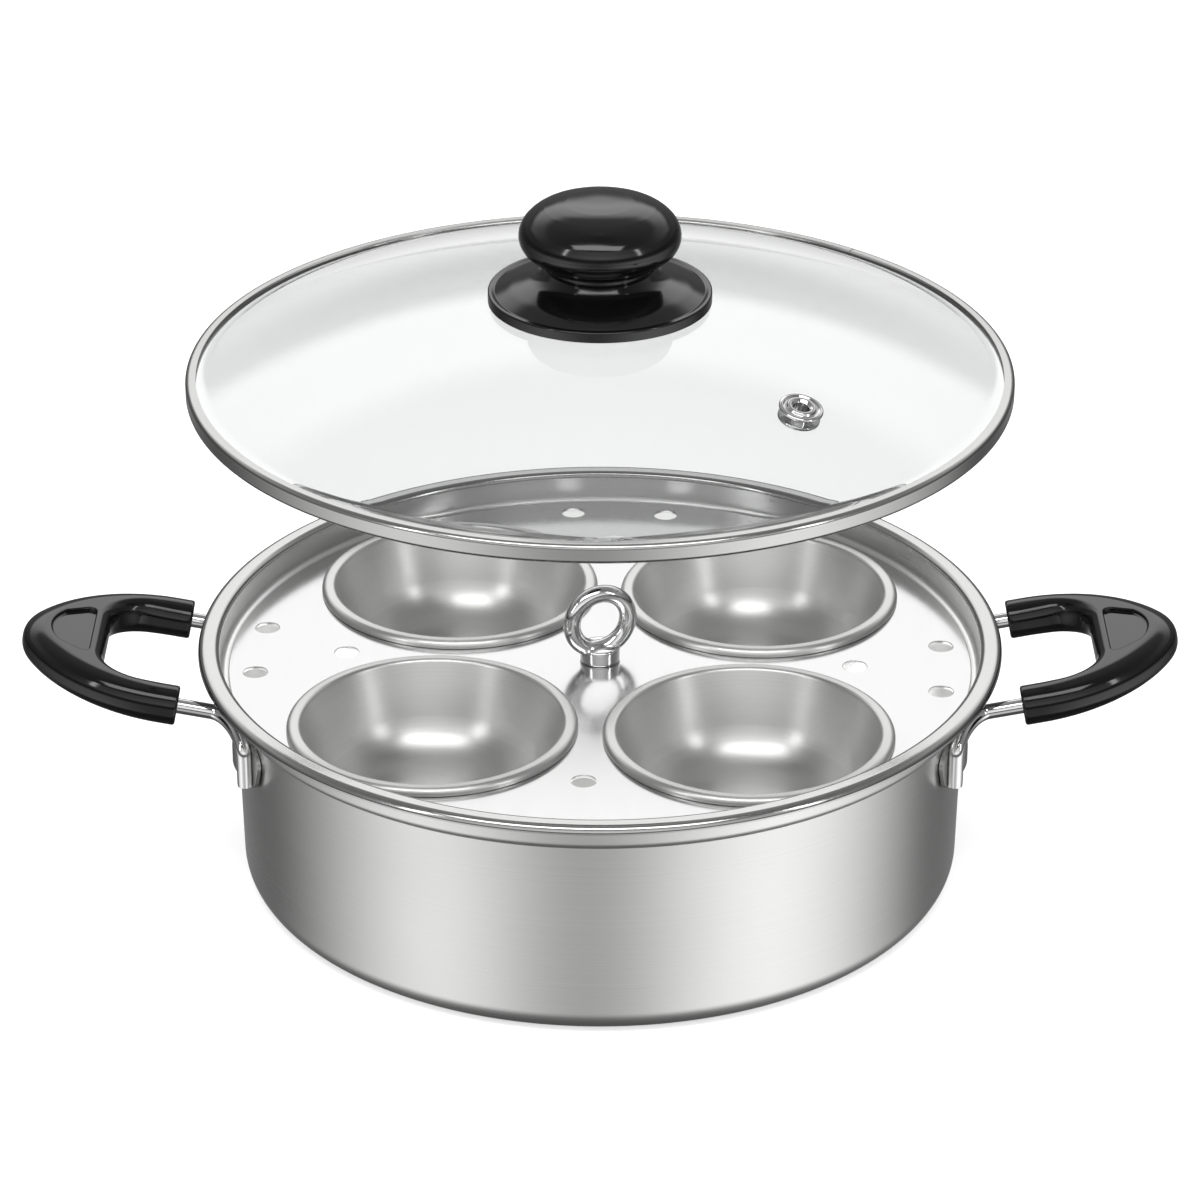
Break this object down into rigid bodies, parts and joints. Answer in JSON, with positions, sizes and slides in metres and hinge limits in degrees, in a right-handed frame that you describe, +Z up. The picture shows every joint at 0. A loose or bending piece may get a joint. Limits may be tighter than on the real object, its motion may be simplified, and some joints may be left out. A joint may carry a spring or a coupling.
{
  "type": "egg poacher pan",
  "caption": "Shallow round steel pan with side handles, a lift-out plate holding hanging egg cups round a lifting eye, and a domed glass lid with a knob and a steam vent.",
  "frame": {"origin": "middle of the pan's flat underside", "axes": "+Z up, +X along the handles to the right hand, -Y towards the viewer of the picture"},
  "size_m": [0.3804, 0.265, 0.2341],
  "materials": {
    "satin_steel": "satin stainless steel",
    "spun_steel": "stainless steel with fine turned brushing",
    "mirror_steel": "mirror-polished stainless steel",
    "polished_steel": "bright polished steel",
    "band_steel": "bright rolled stainless band",
    "black_phenolic": "glossy black moulded phenolic",
    "clear_glass": "clear tempered glass",
    "insert_brass": "turned brass, hidden in the knob",
    "silicone": "grey silicone"
  },
  "bodies": {
    "pan": {"pan_shell": "satin_steel", "handle_grip_left": "black_phenolic", "handle_rod_left_front": "polished_steel", "weld_plate_left_front": "satin_steel", "handle_rod_left_back": "polished_steel", "weld_plate_left_back": "satin_steel", "handle_grip_right": "black_phenolic", "handle_rod_right_front": "polished_steel", "weld_plate_right_front": "satin_steel", "handle_rod_right_back": "polished_steel", "weld_plate_right_back": "satin_steel"},
    "insert": {"insert_tray": "mirror_steel", "lift_eye": "polished_steel", "lift_eye_washer": "polished_steel", "lift_eye_nut": "polished_steel"},
    "cup_front_left": {"egg_cup_front_left": "spun_steel"},
    "cup_front_right": {"egg_cup_front_right": "spun_steel"},
    "cup_back_left": {"egg_cup_back_left": "spun_steel"},
    "cup_back_right": {"egg_cup_back_right": "spun_steel"},
    "lid": {"lid_glass": "clear_glass", "lid_band": "band_steel", "knob_skirt": "black_phenolic", "knob_head": "black_phenolic", "knob_insert": "insert_brass", "knob_gasket": "silicone", "knob_washer": "polished_steel", "knob_screw": "polished_steel", "vent_eyelet": "polished_steel", "vent_ring": "polished_steel"}
  },
  "joints": [
    {"name": "insert_lift", "type": "slide", "parent": "pan", "child": "insert", "axis": [0, 0, 1], "range_m": [0, 0.048]},
    {"name": "cup_front_left_lift", "type": "slide", "parent": "insert", "child": "cup_front_left", "axis": [0, 0, 1], "range_m": [0, 0.034]},
    {"name": "cup_front_right_lift", "type": "slide", "parent": "insert", "child": "cup_front_right", "axis": [0, 0, 1], "range_m": [0, 0.034]},
    {"name": "cup_back_left_lift", "type": "slide", "parent": "insert", "child": "cup_back_left", "axis": [0, 0, 1], "range_m": [0, 0.034]},
    {"name": "cup_back_right_lift", "type": "slide", "parent": "insert", "child": "cup_back_right", "axis": [0, 0, 1], "range_m": [0, 0.034]},
    {"name": "lid_lift", "type": "slide", "parent": "pan", "child": "lid", "axis": [0, 0, 1], "range_m": [-0.089, 0.03]}
  ]
}
